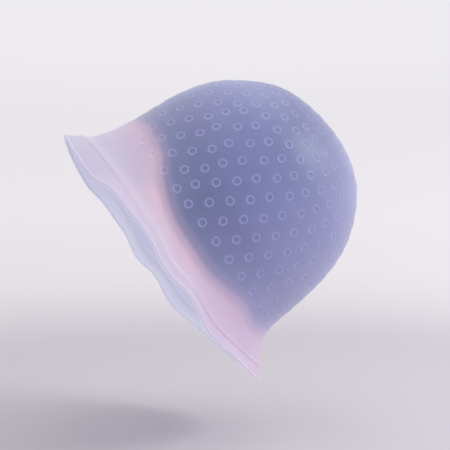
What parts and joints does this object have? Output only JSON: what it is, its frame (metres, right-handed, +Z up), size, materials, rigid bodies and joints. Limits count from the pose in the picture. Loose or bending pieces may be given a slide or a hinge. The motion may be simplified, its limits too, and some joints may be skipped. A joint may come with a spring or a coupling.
{
  "type": "highlighting cap",
  "caption": "Soft silicone hood with a domed crown, a flared brim and a rounded lip, worn over the hair so that strands can be pulled through its marked points for highlighting.",
  "frame": {"origin": "the point inside the crown where the top of the wearer's head bears", "axes": "+Z up on an upright head, -Y towards the wearer's face, +X towards the wearer's left"},
  "size_m": [0.2258, 0.2631, 0.2669],
  "materials": {
    "crown_silicone": "satin translucent silicone, deep periwinkle over the hair",
    "brim_silicone": "satin translucent silicone, pale pinkish lilac",
    "edge_silicone": "satin translucent silicone, pale bluish lilac"
  },
  "bodies": {
    "root": {"crown_shell": "crown_silicone", "brim_skirt": "brim_silicone", "brim_rib": "brim_silicone", "brim_band": "brim_silicone", "edge_bead": "edge_silicone"}
  },
  "joints": []
}
